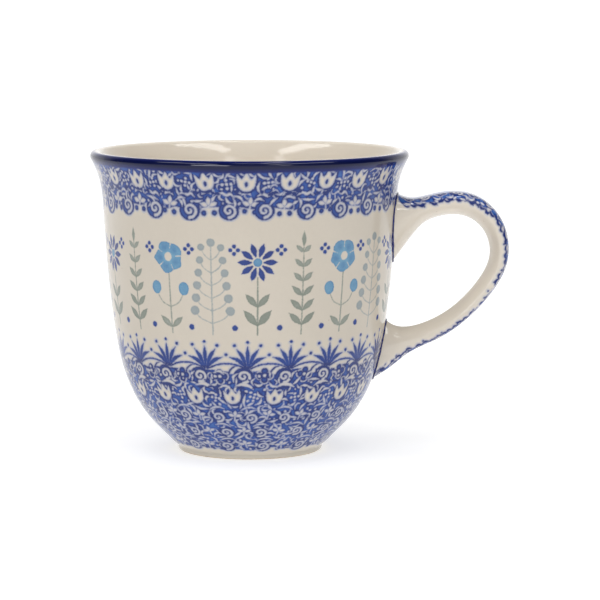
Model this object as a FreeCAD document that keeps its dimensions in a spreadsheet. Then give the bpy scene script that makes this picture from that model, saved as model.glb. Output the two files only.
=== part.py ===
# A glazed stoneware mug: a bell-shaped cup on a low foot ring, with an ear-shaped strap
# handle that is luted on with slip at two joints.
#
# Frame: millimetres, +Z up. The origin is where the cup's axis meets the surface that the
# foot stands on. +X points along the handle, -Y is the side of the cup that is shown when
# the handle is on the right.

import FreeCAD
import Part
import Sketcher
import os

V = FreeCAD.Vector

doc = FreeCAD.newDocument("StonewareMug")

# ---------------------------------------------------------------------------------------
# Driving dimensions
# ---------------------------------------------------------------------------------------
dims = doc.addObject("Spreadsheet::Sheet", "Dims")
_row = [0]


def dim(alias, value, note=""):
    _row[0] += 1
    n = _row[0]
    dims.set("A%d" % n, alias)
    dims.set("B%d" % n, repr(float(value)))
    if note:
        dims.set("C%d" % n, note)
    dims.setAlias("B%d" % n, alias)
    return float(value)


# Cup
mug_height = dim("mug_height", 90.9, "foot to the top of the lip")
foot_radius = dim("foot_radius", 21.85, "outside of the foot ring")
foot_band = dim("foot_band", 1.6, "height of the foot ring's upright side")
recess_mouth = dim("recess_mouth", 17.6, "radius of the recess at the standing face")
recess_roof = dim("recess_roof", 16.2, "radius of the recess at its roof")
recess_depth = dim("recess_depth", 2.0, "depth of the recess inside the foot ring")
floor_height = dim("floor_height", 6.6, "inside floor above the standing face")
lip_outer_round = dim("lip_outer_round", 1.5, "rounding of the lip, outside")
lip_inner_round = dim("lip_inner_round", 1.4, "rounding of the lip, inside")
foot_outer_round = dim("foot_outer_round", 1.0, "rounding of the foot ring, outside")
foot_inner_round = dim("foot_inner_round", 0.5, "rounding of the foot ring, inside")
overshoot = dim("overshoot", 3.0, "how far the cutting profiles run past the clay")

# Control points of the cup's outside, from the foot ring to the lip: radius, height
outer = [
    (21.85, 1.6), (23.47, 2.71), (25.33, 5.0), (31.67, 10.71), (38.3, 22.36),
    (41.21, 38.34), (43.02, 54.7), (43.99, 69.75), (44.68, 84.25), (48.19, 88.87),
    (48.75, 90.9),
]
for i, (r, z) in enumerate(outer):
    dim("outer_r_%d" % i, r, "outside profile, control point %d, radius" % i)
    dim("outer_z_%d" % i, z, "outside profile, control point %d, height" % i)

# Control points of the cup's inside, from the middle of the floor to the lip
inner = [
    (0.0, 6.6), (8.9, 6.6), (17.45, 7.08), (24.57, 9.81), (30.79, 17.74), (34.56, 26.35),
    (36.95, 38.11), (38.5, 50.35), (39.65, 63.35), (40.24, 75.01), (41.22, 84.55),
    (45.14, 90.9),
]
for i, (r, z) in enumerate(inner):
    dim("inner_r_%d" % i, r, "inside profile, control point %d, radius" % i)
    dim("inner_z_%d" % i, z, "inside profile, control point %d, height" % i)

# Handle: sections along the middle line of the strap. x and z of the section's centre,
# the direction of travel (degrees up from +X), half the strap's thickness, half its width
ear = [
    (42.0, 67.0, -4.0, 12.2, 9.2),
    (44.32, 69.0, 4.0, 9.4, 8.9),
    (46.84, 70.95, 14.0, 6.75, 8.3),
    (50.29, 72.45, 23.0, 4.4, 7.6),
    (55.41, 74.05, 18.0, 3.5, 7.1),
    (61.24, 74.97, 0.0, 3.5, 6.8),
    (67.53, 73.75, -27.0, 3.5, 6.7),
    (72.62, 69.5, -53.0, 3.25, 6.6),
    (75.2, 63.31, -80.0, 2.94, 6.4),
    (74.92, 56.94, -104.0, 2.78, 6.2),
    (72.03, 51.02, -121.0, 2.72, 6.0),
    (67.17, 45.03, -134.0, 2.7, 5.8),
    (61.44, 39.96, -144.0, 2.8, 5.6),
    (55.27, 36.31, -153.0, 3.03, 5.4),
    (49.94, 34.26, -159.0, 3.4, 5.2),
    (45.47, 32.92, -166.0, 4.75, 5.1),
    (41.57, 31.9, -178.0, 7.4, 5.1),
    (36.81, 31.2, -192.0, 11.2, 5.2),
]
for i, (x, z, a, ht, hw) in enumerate(ear):
    dim("ear_x_%d" % i, x, "strap section %d, distance from the cup's axis" % i)
    dim("ear_z_%d" % i, z, "strap section %d, height" % i)
    dim("ear_turn_%d" % i, a, "strap section %d, direction in degrees" % i)
    dim("ear_thick_%d" % i, ht, "strap section %d, half thickness" % i)
    dim("ear_wide_%d" % i, hw, "strap section %d, half width" % i)
ear_round = dim("ear_round", 0.82, "corner radius of a strap section over its half thickness")
ear_corner_max = dim("ear_corner_max", 7.0, "largest corner radius, at the flared roots")
ear_corner_wide = dim("ear_corner_wide", 0.9, "largest corner radius over the half width")

# Slip joints
slip_thick = dim("slip_thick", 0.45, "thickness of the slip between handle and wall")
slip_bead = dim("slip_bead", 0.55, "how far the slip is squeezed out past the handle")
last_upper = 3          # last strap section used by the upper joint's footprint
first_lower = len(ear) - 4

doc.recompute()

# ---------------------------------------------------------------------------------------
# Helpers
# ---------------------------------------------------------------------------------------


def plane(body, role):
    for feature in body.Origin.OriginFeatures:
        if feature.Role == role:
            return feature
    raise RuntimeError("no origin plane " + role)


def new_body(name):
    return doc.addObject("PartDesign::Body", name)


def new_sketch(body, name, role="XZ_Plane"):
    sk = body.newObject("Sketcher::SketchObject", name)
    sk.AttachmentSupport = [(plane(body, role), "")]
    sk.MapMode = "FlatFace"
    return sk


def bind(sk, constraint, name, expression):
    """Add a dimensional constraint, name it and bind it to the sheet."""
    n = sk.addConstraint(constraint)
    sk.renameConstraint(n, name)
    sk.setExpression("Constraints." + name, expression)


def hold_point(sk, geo, pos, name, x, z, x_expr, z_expr):
    """Fix a point of the sketch at (x, z) from the sketch's origin."""
    if abs(x) < 1e-9:
        sk.addConstraint(Sketcher.Constraint("PointOnObject", geo, pos, -2))
    else:
        bind(sk, Sketcher.Constraint("DistanceX", -1, 1, geo, pos, x), name + "_x", x_expr)
    if abs(z) < 1e-9:
        sk.addConstraint(Sketcher.Constraint("PointOnObject", geo, pos, -1))
    else:
        bind(sk, Sketcher.Constraint("DistanceY", -1, 1, geo, pos, z), name + "_z", z_expr)


def add_profile_curve(sk, points, prefix, grow=""):
    """A clamped cubic B-spline whose control points are bound to the sheet.

    grow is an expression added to every control point's radius."""
    extra = float(dims.get("slip_thick")) if grow else 0.0
    n = len(points)
    knots = list(range(n - 2))
    mults = [4] + [1] * (n - 4) + [4]
    poles = [V(r + extra, z, 0) for r, z in points]
    curve = Part.BSplineCurve()
    curve.buildFromPolesMultsKnots(poles, mults, knots, False, 3)
    geo = sk.addGeometry(curve, False)
    sk.exposeInternalGeometry(geo)
    for i, (r, z) in enumerate(points):
        ball = geo + 1 + i
        hold_point(sk, ball, 3, "pole_%d" % i, r + extra, z,
                   "Dims.%s_r_%d%s" % (prefix, i, grow), "Dims.%s_z_%d" % (prefix, i))
    return geo


def outer_solid(body, name, grow=""):
    """The cup's outside form as a solid of revolution, with the radius grown by grow."""
    sk = new_sketch(body, name + "_profile")
    geo = add_profile_curve(sk, outer, "outer", grow)
    extra = float(dims.get("slip_thick")) if grow else 0.0
    r0, z0 = outer[0]
    r1, z1 = outer[-1]
    base = sk.addGeometry(Part.LineSegment(V(0, 0, 0), V(r0 + extra, 0, 0)), False)
    side = sk.addGeometry(Part.LineSegment(V(r0 + extra, 0, 0), V(r0 + extra, z0, 0)), False)
    top = sk.addGeometry(Part.LineSegment(V(r1 + extra, z1, 0), V(0, z1, 0)), False)
    axis = sk.addGeometry(Part.LineSegment(V(0, z1, 0), V(0, 0, 0)), False)
    C = Sketcher.Constraint
    sk.addConstraint([
        C("Coincident", base, 1, -1, 1),
        C("Horizontal", base),
        C("Coincident", base, 2, side, 1),
        C("Vertical", side),
        C("Coincident", side, 2, geo, 1),
        C("Coincident", geo, 2, top, 1),
        C("Horizontal", top),
        C("Coincident", top, 2, axis, 1),
        C("Coincident", axis, 2, -1, 1),
        C("Vertical", axis),
    ])
    doc.recompute()
    rev = body.newObject("PartDesign::Revolution", name)
    rev.Profile = (sk, [""])
    rev.ReferenceAxis = (sk, ["V_Axis"])
    rev.Angle = 360.0
    doc.recompute()
    return rev


def edges_at(shape, radius, height, tol=0.02):
    """Names of the circular edges about the Z axis with this radius and height."""
    out = []
    for i, e in enumerate(shape.Edges):
        if e.Degenerated:
            continue
        c = e.Curve
        if isinstance(c, Part.Circle):
            if abs(c.Radius - radius) < tol and abs(c.Center.z - height) < tol:
                out.append("Edge%d" % (i + 1))
    if not out:
        raise RuntimeError("no edge at radius %.2f, height %.2f" % (radius, height))
    return out


def strap_section(body, name, i, grow=""):
    """A rounded rectangle across the strap, standing on the strap's middle line."""
    x, z, turn, ht, hw = ear[i]
    extra = float(dims.get("slip_bead")) if grow else 0.0
    a, b = ht + extra, hw + extra
    r = min(float(dims.get("ear_round")) * a, float(dims.get("ear_corner_max")),
            float(dims.get("ear_corner_wide")) * b)
    sk = new_sketch(body, name)
    sk.setExpression(
        "AttachmentOffset",
        "create(<<placement>>; create(<<vector>>; Dims.ear_x_%d; Dims.ear_z_%d; 0); "
        "create(<<rotation>>; Dims.ear_turn_%d + 90; 0; 90))" % (i, i, i))
    L, A = Part.LineSegment, Part.ArcOfCircle
    pi = 3.141592653589793
    zz = V(0, 0, 1)
    g = sk.addGeometry([
        L(V(-a + r, -b, 0), V(a - r, -b, 0)),
        A(Part.Circle(V(a - r, -b + r, 0), zz, r), -pi / 2, 0),
        L(V(a, -b + r, 0), V(a, b - r, 0)),
        A(Part.Circle(V(a - r, b - r, 0), zz, r), 0, pi / 2),
        L(V(a - r, b, 0), V(-a + r, b, 0)),
        A(Part.Circle(V(-a + r, b - r, 0), zz, r), pi / 2, pi),
        L(V(-a, b - r, 0), V(-a, -b + r, 0)),
        A(Part.Circle(V(-a + r, -b + r, 0), zz, r), pi, 3 * pi / 2),
    ], False)
    C = Sketcher.Constraint
    sk.addConstraint([
        C("Tangent", g[0], 2, g[1], 1),
        C("Tangent", g[1], 2, g[2], 1),
        C("Tangent", g[2], 2, g[3], 1),
        C("Tangent", g[3], 2, g[4], 1),
        C("Tangent", g[4], 2, g[5], 1),
        C("Tangent", g[5], 2, g[6], 1),
        C("Tangent", g[6], 2, g[7], 1),
        C("Tangent", g[7], 2, g[0], 1),
        C("Horizontal", g[0]),
        C("Vertical", g[2]),
        C("Horizontal", g[4]),
        C("Vertical", g[6]),
        C("Equal", g[1], g[3]),
        C("Equal", g[1], g[5]),
        C("Equal", g[1], g[7]),
        C("Symmetric", g[1], 3, g[5], 3, -1, 1),
    ])
    bind(sk, C("DistanceX", -1, 1, g[2], 1, a), "half_thickness", "Dims.ear_thick_%d%s" % (i, grow))
    bind(sk, C("DistanceY", -1, 1, g[4], 1, b), "half_width", "Dims.ear_wide_%d%s" % (i, grow))
    bind(sk, C("Radius", g[1], r), "corner",
         "min(Dims.ear_round * (Dims.ear_thick_%d%s); Dims.ear_corner_max; "
         "Dims.ear_corner_wide * (Dims.ear_wide_%d%s))" % (i, grow, i, grow))
    return sk


def strap(name, first, last, grow=""):
    """A strap lofted through the sections first..last."""
    body = new_body(name)
    sections = [strap_section(body, "%s_section_%d" % (name, i), i, grow)
                for i in range(first, last + 1)]
    doc.recompute()
    loft = body.newObject("PartDesign::AdditiveLoft", name + "_loft")
    loft.Profile = (sections[0], [""])
    loft.Sections = [(s, [""]) for s in sections[1:]]
    loft.Ruled = False
    loft.Closed = False
    doc.recompute()
    return body


# ---------------------------------------------------------------------------------------
# Cup
# ---------------------------------------------------------------------------------------
cup = new_body("CupBody")
cup.Label = "cup_body"
clay = outer_solid(cup, "cup_outside")
full = clay.Shape.Volume

hollow = new_sketch(cup, "cup_inside_profile")
curve = add_profile_curve(hollow, inner, "inner")
ri, zi = inner[-1]
over = float(dims.get("overshoot"))
wall = hollow.addGeometry(Part.LineSegment(V(ri, zi, 0), V(ri, zi + over, 0)), False)
lid = hollow.addGeometry(Part.LineSegment(V(ri, zi + over, 0), V(0, zi + over, 0)), False)
core = hollow.addGeometry(Part.LineSegment(V(0, zi + over, 0), V(0, inner[0][1], 0)), False)
C = Sketcher.Constraint
hollow.addConstraint([
    C("Coincident", curve, 2, wall, 1),
    C("Vertical", wall),
    C("Coincident", wall, 2, lid, 1),
    C("Horizontal", lid),
    C("Coincident", lid, 2, core, 1),
    C("Coincident", core, 2, curve, 1),
    C("Vertical", core),
])
bind(hollow, C("DistanceY", wall, 1, wall, 2, over), "past_the_lip", "Dims.overshoot")
doc.recompute()
cavity = cup.newObject("PartDesign::Groove", "cup_cavity")
cavity.Profile = (hollow, [""])
cavity.ReferenceAxis = (hollow, ["V_Axis"])
cavity.Angle = 360.0
doc.recompute()
after_cavity = cavity.Shape.Volume
if not after_cavity < 0.5 * full:
    raise RuntimeError("the cavity cut nothing")

under = new_sketch(cup, "foot_recess_profile")
rm, rr, rd = (float(dims.get(k)) for k in ("recess_mouth", "recess_roof", "recess_depth"))
u0 = under.addGeometry(Part.LineSegment(V(0, -over, 0), V(rm, -over, 0)), False)
u1 = under.addGeometry(Part.LineSegment(V(rm, -over, 0), V(rm, 0, 0)), False)
u2 = under.addGeometry(Part.LineSegment(V(rm, 0, 0), V(rr, rd, 0)), False)
u3 = under.addGeometry(Part.LineSegment(V(rr, rd, 0), V(0, rd, 0)), False)
u4 = under.addGeometry(Part.LineSegment(V(0, rd, 0), V(0, -over, 0)), False)
under.addConstraint([
    C("Coincident", u0, 2, u1, 1),
    C("Coincident", u1, 2, u2, 1),
    C("Coincident", u2, 2, u3, 1),
    C("Coincident", u3, 2, u4, 1),
    C("Coincident", u4, 2, u0, 1),
    C("Horizontal", u0),
    C("Vertical", u1),
    C("Horizontal", u3),
    C("PointOnObject", u4, 1, -2),
    C("PointOnObject", u4, 2, -2),
    C("PointOnObject", u1, 2, -1),
])
bind(under, C("DistanceX", -1, 1, u1, 2, rm), "mouth", "Dims.recess_mouth")
bind(under, C("DistanceX", -1, 1, u2, 2, rr), "roof", "Dims.recess_roof")
bind(under, C("DistanceY", -1, 1, u2, 2, rd), "depth", "Dims.recess_depth")
bind(under, C("DistanceY", u1, 1, u1, 2, over), "below_the_foot", "Dims.overshoot")
doc.recompute()
recess = cup.newObject("PartDesign::Groove", "foot_recess")
recess.Profile = (under, [""])
recess.ReferenceAxis = (under, ["V_Axis"])
recess.Angle = 360.0
doc.recompute()
if not recess.Shape.Volume < after_cavity - 1000.0:
    raise RuntimeError("the foot recess cut nothing")


def round_off(name, radius, height, expression):
    """Round the circular edge at this radius and height of the cup's present shape."""
    base = cup.Tip
    f = cup.newObject("PartDesign::Fillet", name)
    f.Base = (base, edges_at(base.Shape, radius, height))
    f.Radius = 0.3
    f.setExpression("Radius", expression)
    doc.recompute()
    return f


round_off("lip_inside_round", inner[-1][0], inner[-1][1], "Dims.lip_inner_round")
round_off("lip_outside_round", outer[-1][0], outer[-1][1], "Dims.lip_outer_round")
round_off("foot_outside_round", foot_radius, 0.0, "Dims.foot_outer_round")
round_off("foot_inside_round", recess_mouth, 0.0, "Dims.foot_inner_round")

# ---------------------------------------------------------------------------------------
# Handle, trimmed to the cup's wall with room for the slip
# ---------------------------------------------------------------------------------------
envelope = new_body("SlipEnvelope")
outer_solid(envelope, "slip_envelope", " + Dims.slip_thick")

ear_body = strap("Ear", 0, len(ear) - 1)
handle = doc.addObject("Part::Cut", "Handle")
handle.Label = "handle"
handle.Base = ear_body
handle.Tool = envelope
doc.recompute()

# ---------------------------------------------------------------------------------------
# Slip joints: what fills the space between the wall and the handle's two roots
# ---------------------------------------------------------------------------------------


def slip_joint(name, label, first, last):
    root = strap(name + "Footprint", first, last, " + Dims.slip_bead")
    layer = doc.addObject("Part::Common", name + "Layer")
    layer.Base = root
    layer.Tool = envelope
    joint = doc.addObject("Part::Cut", name)
    joint.Label = label
    joint.Base = layer
    joint.Tool = cup
    doc.recompute()
    return joint


upper = slip_joint("UpperSlipJoint", "upper_slip_joint", 0, last_upper)
lower = slip_joint("LowerSlipJoint", "lower_slip_joint", first_lower, len(ear) - 1)

doc.recompute()

# ---------------------------------------------------------------------------------------
# Check and export
# ---------------------------------------------------------------------------------------
for obj in doc.Objects:
    if "Invalid" in obj.State or "Error" in obj.State:
        raise RuntimeError("%s did not recompute: %s" % (obj.Name, obj.State))

nodes = [cup, handle, upper, lower]
for node in nodes:
    shape = node.Shape
    if shape.isNull() or not shape.isValid() or len(shape.Solids) != 1:
        raise RuntimeError("%s: null %s, valid %s, solids %d" % (
            node.Label, shape.isNull(), shape.isValid(), len(shape.Solids)))

os.makedirs("parts", exist_ok=True)
for node in nodes:
    node.Shape.exportStep("parts/%s.step" % node.Label)
    box = node.Shape.BoundBox
    print("%-18s volume %10.1f mm3  x %.2f..%.2f  y %.2f..%.2f  z %.2f..%.2f" % (
        node.Label, node.Shape.Volume, box.XMin, box.XMax, box.YMin, box.YMax, box.ZMin, box.ZMax))
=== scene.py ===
import math
import random

import bpy
import numpy as np
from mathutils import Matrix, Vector


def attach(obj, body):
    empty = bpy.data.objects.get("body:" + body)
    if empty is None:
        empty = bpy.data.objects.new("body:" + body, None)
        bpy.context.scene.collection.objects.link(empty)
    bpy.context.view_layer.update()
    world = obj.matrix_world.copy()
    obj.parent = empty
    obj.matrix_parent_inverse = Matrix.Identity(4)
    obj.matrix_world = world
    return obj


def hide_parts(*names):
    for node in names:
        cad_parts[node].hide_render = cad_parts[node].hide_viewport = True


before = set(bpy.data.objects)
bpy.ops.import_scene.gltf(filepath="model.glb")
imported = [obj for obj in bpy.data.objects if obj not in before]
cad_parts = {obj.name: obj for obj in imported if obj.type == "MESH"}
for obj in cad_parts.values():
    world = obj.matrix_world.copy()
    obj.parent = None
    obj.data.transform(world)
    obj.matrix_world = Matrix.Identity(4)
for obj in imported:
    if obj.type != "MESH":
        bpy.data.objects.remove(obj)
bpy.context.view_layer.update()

MM = 0.001

# ---------------------------------------------------------------------------------------
# Profile (r, z) in mm: the same poles as the CAD's
# ---------------------------------------------------------------------------------------
OUTER = ((21.85, 1.6), (23.47, 2.71), (25.33, 5.0), (31.67, 10.71), (38.3, 22.36), (41.21, 38.34),
         (43.02, 54.7), (43.99, 69.75), (44.68, 84.25), (48.19, 88.87), (48.75, 90.9))
INNER = ((0, 6.6), (8.9, 6.6), (17.45, 7.08), (24.57, 9.81), (30.79, 17.74), (34.56, 26.35),
         (36.95, 38.11), (38.5, 50.35), (39.65, 63.35), (40.24, 75.01), (41.22, 84.55), (45.14, 90.9))
HIGH = 90.9


def spline(poles, n):
    """Points on the clamped cubic B-spline with evenly spaced knots."""
    P = np.asarray(poles, float)
    m = len(P)
    kn = np.concatenate([[0] * 4, np.arange(1, m - 3), [m - 3] * 4]).astype(float)
    u = np.linspace(0, m - 3, n)
    B = [((kn[i] <= u) & (u < kn[i + 1])).astype(float) for i in range(len(kn) - 1)]
    B[m - 1][-1] = 1.0
    for k in range(1, 4):
        nxt = []
        for i in range(len(B) - 1):
            a = (u - kn[i]) / (kn[i + k] - kn[i]) * B[i] if kn[i + k] > kn[i] else 0 * u
            b = ((kn[i + k + 1] - u) / (kn[i + k + 1] - kn[i + 1]) * B[i + 1]
                 if kn[i + k + 1] > kn[i + 1] else 0 * u)
            nxt.append(a + b)
        B = nxt
    return sum(B[i][:, None] * P[i] for i in range(m))


def rounded(curve, radius, side):
    """Trims a rising curve and rounds it into the level top. Gives the curve and the arc."""
    t = np.gradient(curve, axis=0)
    t /= np.linalg.norm(t, axis=1)[:, None]
    n = np.stack([-t[:, 1], t[:, 0]], 1) * side
    c = curve + radius * n
    i = int(np.argmax(c[:, 1] >= HIGH - radius))
    f = (HIGH - radius - c[i - 1, 1]) / (c[i, 1] - c[i - 1, 1])
    p = curve[i - 1] + f * (curve[i] - curve[i - 1])
    o = c[i - 1] + f * (c[i] - c[i - 1])
    a0 = math.atan2(p[1] - o[1], p[0] - o[0])
    if a0 < -math.pi / 2:
        a0 += 2 * math.pi
    a = np.linspace(a0, math.pi / 2, 15)
    arc = o + radius * np.stack([np.cos(a), np.sin(a)], 1)
    return np.vstack([curve[:i], p]), arc[1:]


def along(P):
    return np.concatenate([[0], np.cumsum(np.linalg.norm(np.diff(P, axis=0), axis=1))])


wall, lip_out = rounded(spline(OUTER, 3000), 1.5, 1)
well, lip_in = rounded(spline(INNER, 3000), 1.4, -1)
CREST_R = (lip_out[-1][0] + lip_in[-1][0]) / 2
shell = np.vstack([wall, lip_out, [[CREST_R, HIGH]], lip_in[::-1], well[::-1]])
S = along(shell)
keep = np.concatenate([[True], np.diff(S) > 1e-7])
shell, S = shell[keep], S[keep]
S_CREST = float(S[int(np.argmin(np.hypot(shell[:, 0] - CREST_R, shell[:, 1] - HIGH)))])
S_END = float(S[-1])
top_s = along(wall)[-1]
PROFILE_S, PROFILE_R = S, shell[:, 0]


def s_of_z(z):
    return float(np.interp(z, wall[:, 1], along(wall)))


def r_out(z):
    return np.interp(z, wall[:, 1], wall[:, 0])


# ---------------------------------------------------------------------------------------
# Painting engine: inks as signed distances (mm) and densities over a grid of glaze points
# ---------------------------------------------------------------------------------------
FAR = 9.0
LAYERS = ("cobalt", "sky", "leaf", "mist")


class Glaze:
    """Inks over a grid. th is the column coordinate (radians round the cup, or mm along the
    handle), v the row coordinate (mm up the profile), r the radius that turns th into mm."""

    def __init__(self, th, v, r, period=None):
        self.th, self.v, self.r, self.period = th, v, r, period
        shape = (len(v), len(th))
        self.d = {k: np.full(shape, FAR, np.float32) for k in LAYERS}
        self.t = {k: np.zeros(shape, np.float32) for k in LAYERS}

    def window(self, place, lo, hi):
        """Rows, columns and local coordinates of the grid points inside a local box."""
        th0, v0, rot, k, flip = place
        c, s = math.cos(rot), math.sin(rot)
        cs = []
        for x in (lo[0], hi[0]):
            for y in (lo[1], hi[1]):
                xx = -x if flip else x
                cs.append((k * (c * xx - s * y), k * (s * xx + c * y)))
        us = [q[0] for q in cs]
        vs = [q[1] for q in cs]
        r0 = float(np.interp(v0, self.v, self.r))
        i0 = int(np.searchsorted(self.v, v0 + min(vs)))
        i1 = int(np.searchsorted(self.v, v0 + max(vs)))
        if i1 <= i0:
            return None
        n = len(self.th)
        if self.period:
            m = n - 1
            step = self.period / m
            j0 = int(math.floor((th0 + min(us) / r0 - self.th[0]) / step))
            j1 = int(math.ceil((th0 + max(us) / r0 - self.th[0]) / step)) + 1
            if j1 - j0 > m:
                j0, j1 = 0, m
            raw = np.arange(j0, j1)
            th = self.th[0] + raw * step
            cols = np.mod(raw, m)
        else:
            j0 = int(np.searchsorted(self.th, th0 + min(us) / r0))
            j1 = int(np.searchsorted(self.th, th0 + max(us) / r0))
            if j1 <= j0:
                return None
            cols = np.arange(j0, j1)
            th = self.th[cols]
        U = ((th - th0) * r0)[None, :]
        V = (self.v[i0:i1] - v0)[:, None]
        x = (c * U + s * V) / k
        y = (-s * U + c * V) / k
        if flip:
            x = -x
        return np.ix_(np.arange(i0, i1), cols), x, y

    def close(self):
        if self.period:
            for k in LAYERS:
                self.d[k][:, -1] = self.d[k][:, 0]
                self.t[k][:, -1] = self.t[k][:, 0]


def smooth_line(pts, per=5, closed=False):
    """Catmull-Rom through the points; extra columns (widths) are carried along."""
    P = np.asarray(pts, float)
    n = len(P)
    if n < 3 and not closed:
        return P
    if closed:
        Q = np.vstack([P[-1], P, P[0], P[1]])
    else:
        Q = np.vstack([2 * P[0] - P[1], P, 2 * P[-1] - P[-2]])
    out = []
    for i in range(1, len(Q) - 2):
        a, b, c, d = Q[i - 1], Q[i], Q[i + 1], Q[i + 2]
        for j in range(per):
            u = j / per
            out.append(0.5 * (2 * b + (c - a) * u + (2 * a - 5 * b + 4 * c - d) * u * u
                              + (3 * b - a - 3 * c + d) * u ** 3))
    if not closed:
        out.append(P[-1])
    else:
        out.append(out[0])
    return np.array(out)


# Shapes: each gives (local box low, local box high, function of x and y -> signed distance)

def brush(pts, width=None, per=5, closed=False, hard=False):
    """A brush stroke through (x, y, half width) points, or (x, y) with one half width."""
    P = [(p[0], p[1], p[2] if len(p) > 2 else width) for p in pts]
    P = np.asarray(P, float) if hard else smooth_line(P, per, closed)
    P[:, 2] = np.maximum(P[:, 2], 0.02)
    m = P[:, 2].max() + 0.9
    lo, hi = P[:, :2].min(0) - m, P[:, :2].max(0) + m

    def f(x, y):
        best = np.full(np.broadcast(x, y).shape, FAR)
        for a, b in zip(P[:-1], P[1:]):
            dx, dy = b[0] - a[0], b[1] - a[1]
            L = dx * dx + dy * dy + 1e-9
            t = np.clip(((x - a[0]) * dx + (y - a[1]) * dy) / L, 0, 1)
            d = np.hypot(x - a[0] - t * dx, y - a[1] - t * dy) - (a[2] + t * (b[2] - a[2]))
            np.minimum(best, d, out=best)
        return best
    return lo, hi, f


def blob(cx, cy, rx, ry=None, rot=0.0):
    """An ellipse."""
    ry = rx if ry is None else ry
    m = max(rx, ry) + 0.9
    c, s = math.cos(rot), math.sin(rot)

    def f(x, y):
        u = c * (x - cx) + s * (y - cy)
        v = -s * (x - cx) + c * (y - cy)
        q = np.hypot(u / rx, v / ry)
        g = np.hypot(u / rx ** 2, v / ry ** 2) + 1e-6
        return np.where(q > 0.15, q * (q - 1) / g, -min(rx, ry) * (1 - q))
    return np.array((cx - m, cy - m)), np.array((cx + m, cy + m)), f


def hoop(cx, cy, rx, ry, w, rot=0.0):
    """An elliptical ring of half width w."""
    lo, hi, f = blob(cx, cy, rx, ry, rot)
    return lo - w, hi + w, lambda x, y: np.abs(f(x, y)) - w


def patch(pts, per=4, smooth=True):
    """A closed area with a smooth outline."""
    P = smooth_line(pts, per, True) if smooth else np.vstack([pts, pts[0]]).astype(float)
    lo, hi = P.min(0) - 0.9, P.max(0) + 0.9

    def f(x, y):
        shape = np.broadcast(x, y).shape
        x, y = np.broadcast_to(x, shape), np.broadcast_to(y, shape)
        best = np.full(shape, FAR)
        inside = np.zeros(shape, bool)
        for a, b in zip(P[:-1], P[1:]):
            dx, dy = b[0] - a[0], b[1] - a[1]
            L = dx * dx + dy * dy + 1e-9
            t = np.clip(((x - a[0]) * dx + (y - a[1]) * dy) / L, 0, 1)
            np.minimum(best, np.hypot(x - a[0] - t * dx, y - a[1] - t * dy), out=best)
            cross = (a[1] > y) != (b[1] > y)
            if abs(dy) > 1e-12:
                inside ^= cross & (x < dx * (y - a[1]) / dy + a[0])
        return np.where(inside, -best, best)
    return lo, hi, f


def put(g, layer, place, shape, tone=1.0, edge=0.0, fade=None):
    """Ink a shape: where it covers, the density becomes tone, a little more at its edge."""
    lo, hi, f = shape
    w = g.window(place, lo, hi)
    if w is None:
        return
    ix, x, y = w
    d = (f(x, y) * place[3]).astype(np.float32)
    D, T = g.d[layer][ix], g.t[layer][ix]
    val = tone
    if fade is not None:
        val = tone * fade(x, y)
    if edge:
        val = val + edge * np.exp(-np.abs(d) / 0.28)
    near = d < np.minimum(D, 0.35)
    g.t[layer][ix] = np.where(near | ((d < 0) & (D >= 0)), val, T)
    g.t[layer][ix] = np.where((d < 0) & (D < 0), np.maximum(T, val), g.t[layer][ix])
    g.d[layer][ix] = np.minimum(D, d)


def cut(g, layer, place, shape):
    """Take a shape out of the ink."""
    lo, hi, f = shape
    w = g.window(place, lo, hi)
    if w is None:
        return
    ix, x, y = w
    d = (f(x, y) * place[3]).astype(np.float32)
    g.d[layer][ix] = np.maximum(g.d[layer][ix], -d)


def tint(g, layer, place, shape, tone, soft=0.25):
    """Change the density of ink that is already there, with a soft edge."""
    lo, hi, f = shape
    w = g.window(place, lo, hi)
    if w is None:
        return
    ix, x, y = w
    d = f(x, y) * place[3]
    k = np.clip(0.5 - d / (2 * soft), 0, 1)
    g.t[layer][ix] = g.t[layer][ix] * (1 - k) + tone * k
# ---------------------------------------------------------------------------------------
# Motifs. Each is drawn about its own origin, in millimetres, +y up the cup.
# ---------------------------------------------------------------------------------------
PI = math.pi


def at(th_deg, v, rot=0.0, k=1.0, flip=False):
    return (math.radians(th_deg), v, math.radians(rot), k, flip)


def spiral_pts(r0, r1, a0, a1, w0, w1, n=9, cx=0.0, cy=0.0, sq=1.0):
    out = []
    for i in range(n):
        u = i / (n - 1)
        a = math.radians(a0 + (a1 - a0) * u)
        r = r0 + (r1 - r0) * u
        out.append((cx + r * math.cos(a), cy + sq * r * math.sin(a), w0 + (w1 - w0) * u))
    return out


def curl(g, p, rng, size=1.0, tone=0.95, ground=False, fat=1.0, ring=0.0):
    """A round boss with a plain even spiral reserved in it."""
    R = 2.95 * size
    put(g, "cobalt", p, blob(0, 0, R, R * 0.95), tone, 0.04)
    cut(g, "cobalt", p, brush(spiral_pts(R * 0.70, R * 0.10, -90, 400, 0.42 * size, 0.30 * size, 20, sq=0.95)))


def figure(g, p, rng, size=1.0, tone=0.85):
    """A cream trefoil on a short stem, reserved in the ground."""
    k = size
    for a in (20, 90, 160):
        c, s = math.cos(math.radians(a)), math.sin(math.radians(a))
        cut(g, "cobalt", p, brush([(0.3 * k * c, 0.3 * k * s, 0.20 * k), (1.2 * k * c, 1.2 * k * s, 0.62 * k),
                                   (2.1 * k * c, 2.1 * k * s, 0.16 * k)]))
    cut(g, "cobalt", p, brush([(0, 0, 0.26 * k), (0, -1.9 * k, 0.20 * k)]))
    for side in (-1, 1):
        put(g, "cobalt", p, blob(side * 1.35 * k, -1.7 * k, 0.70 * k), tone, 0.04)


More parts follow.
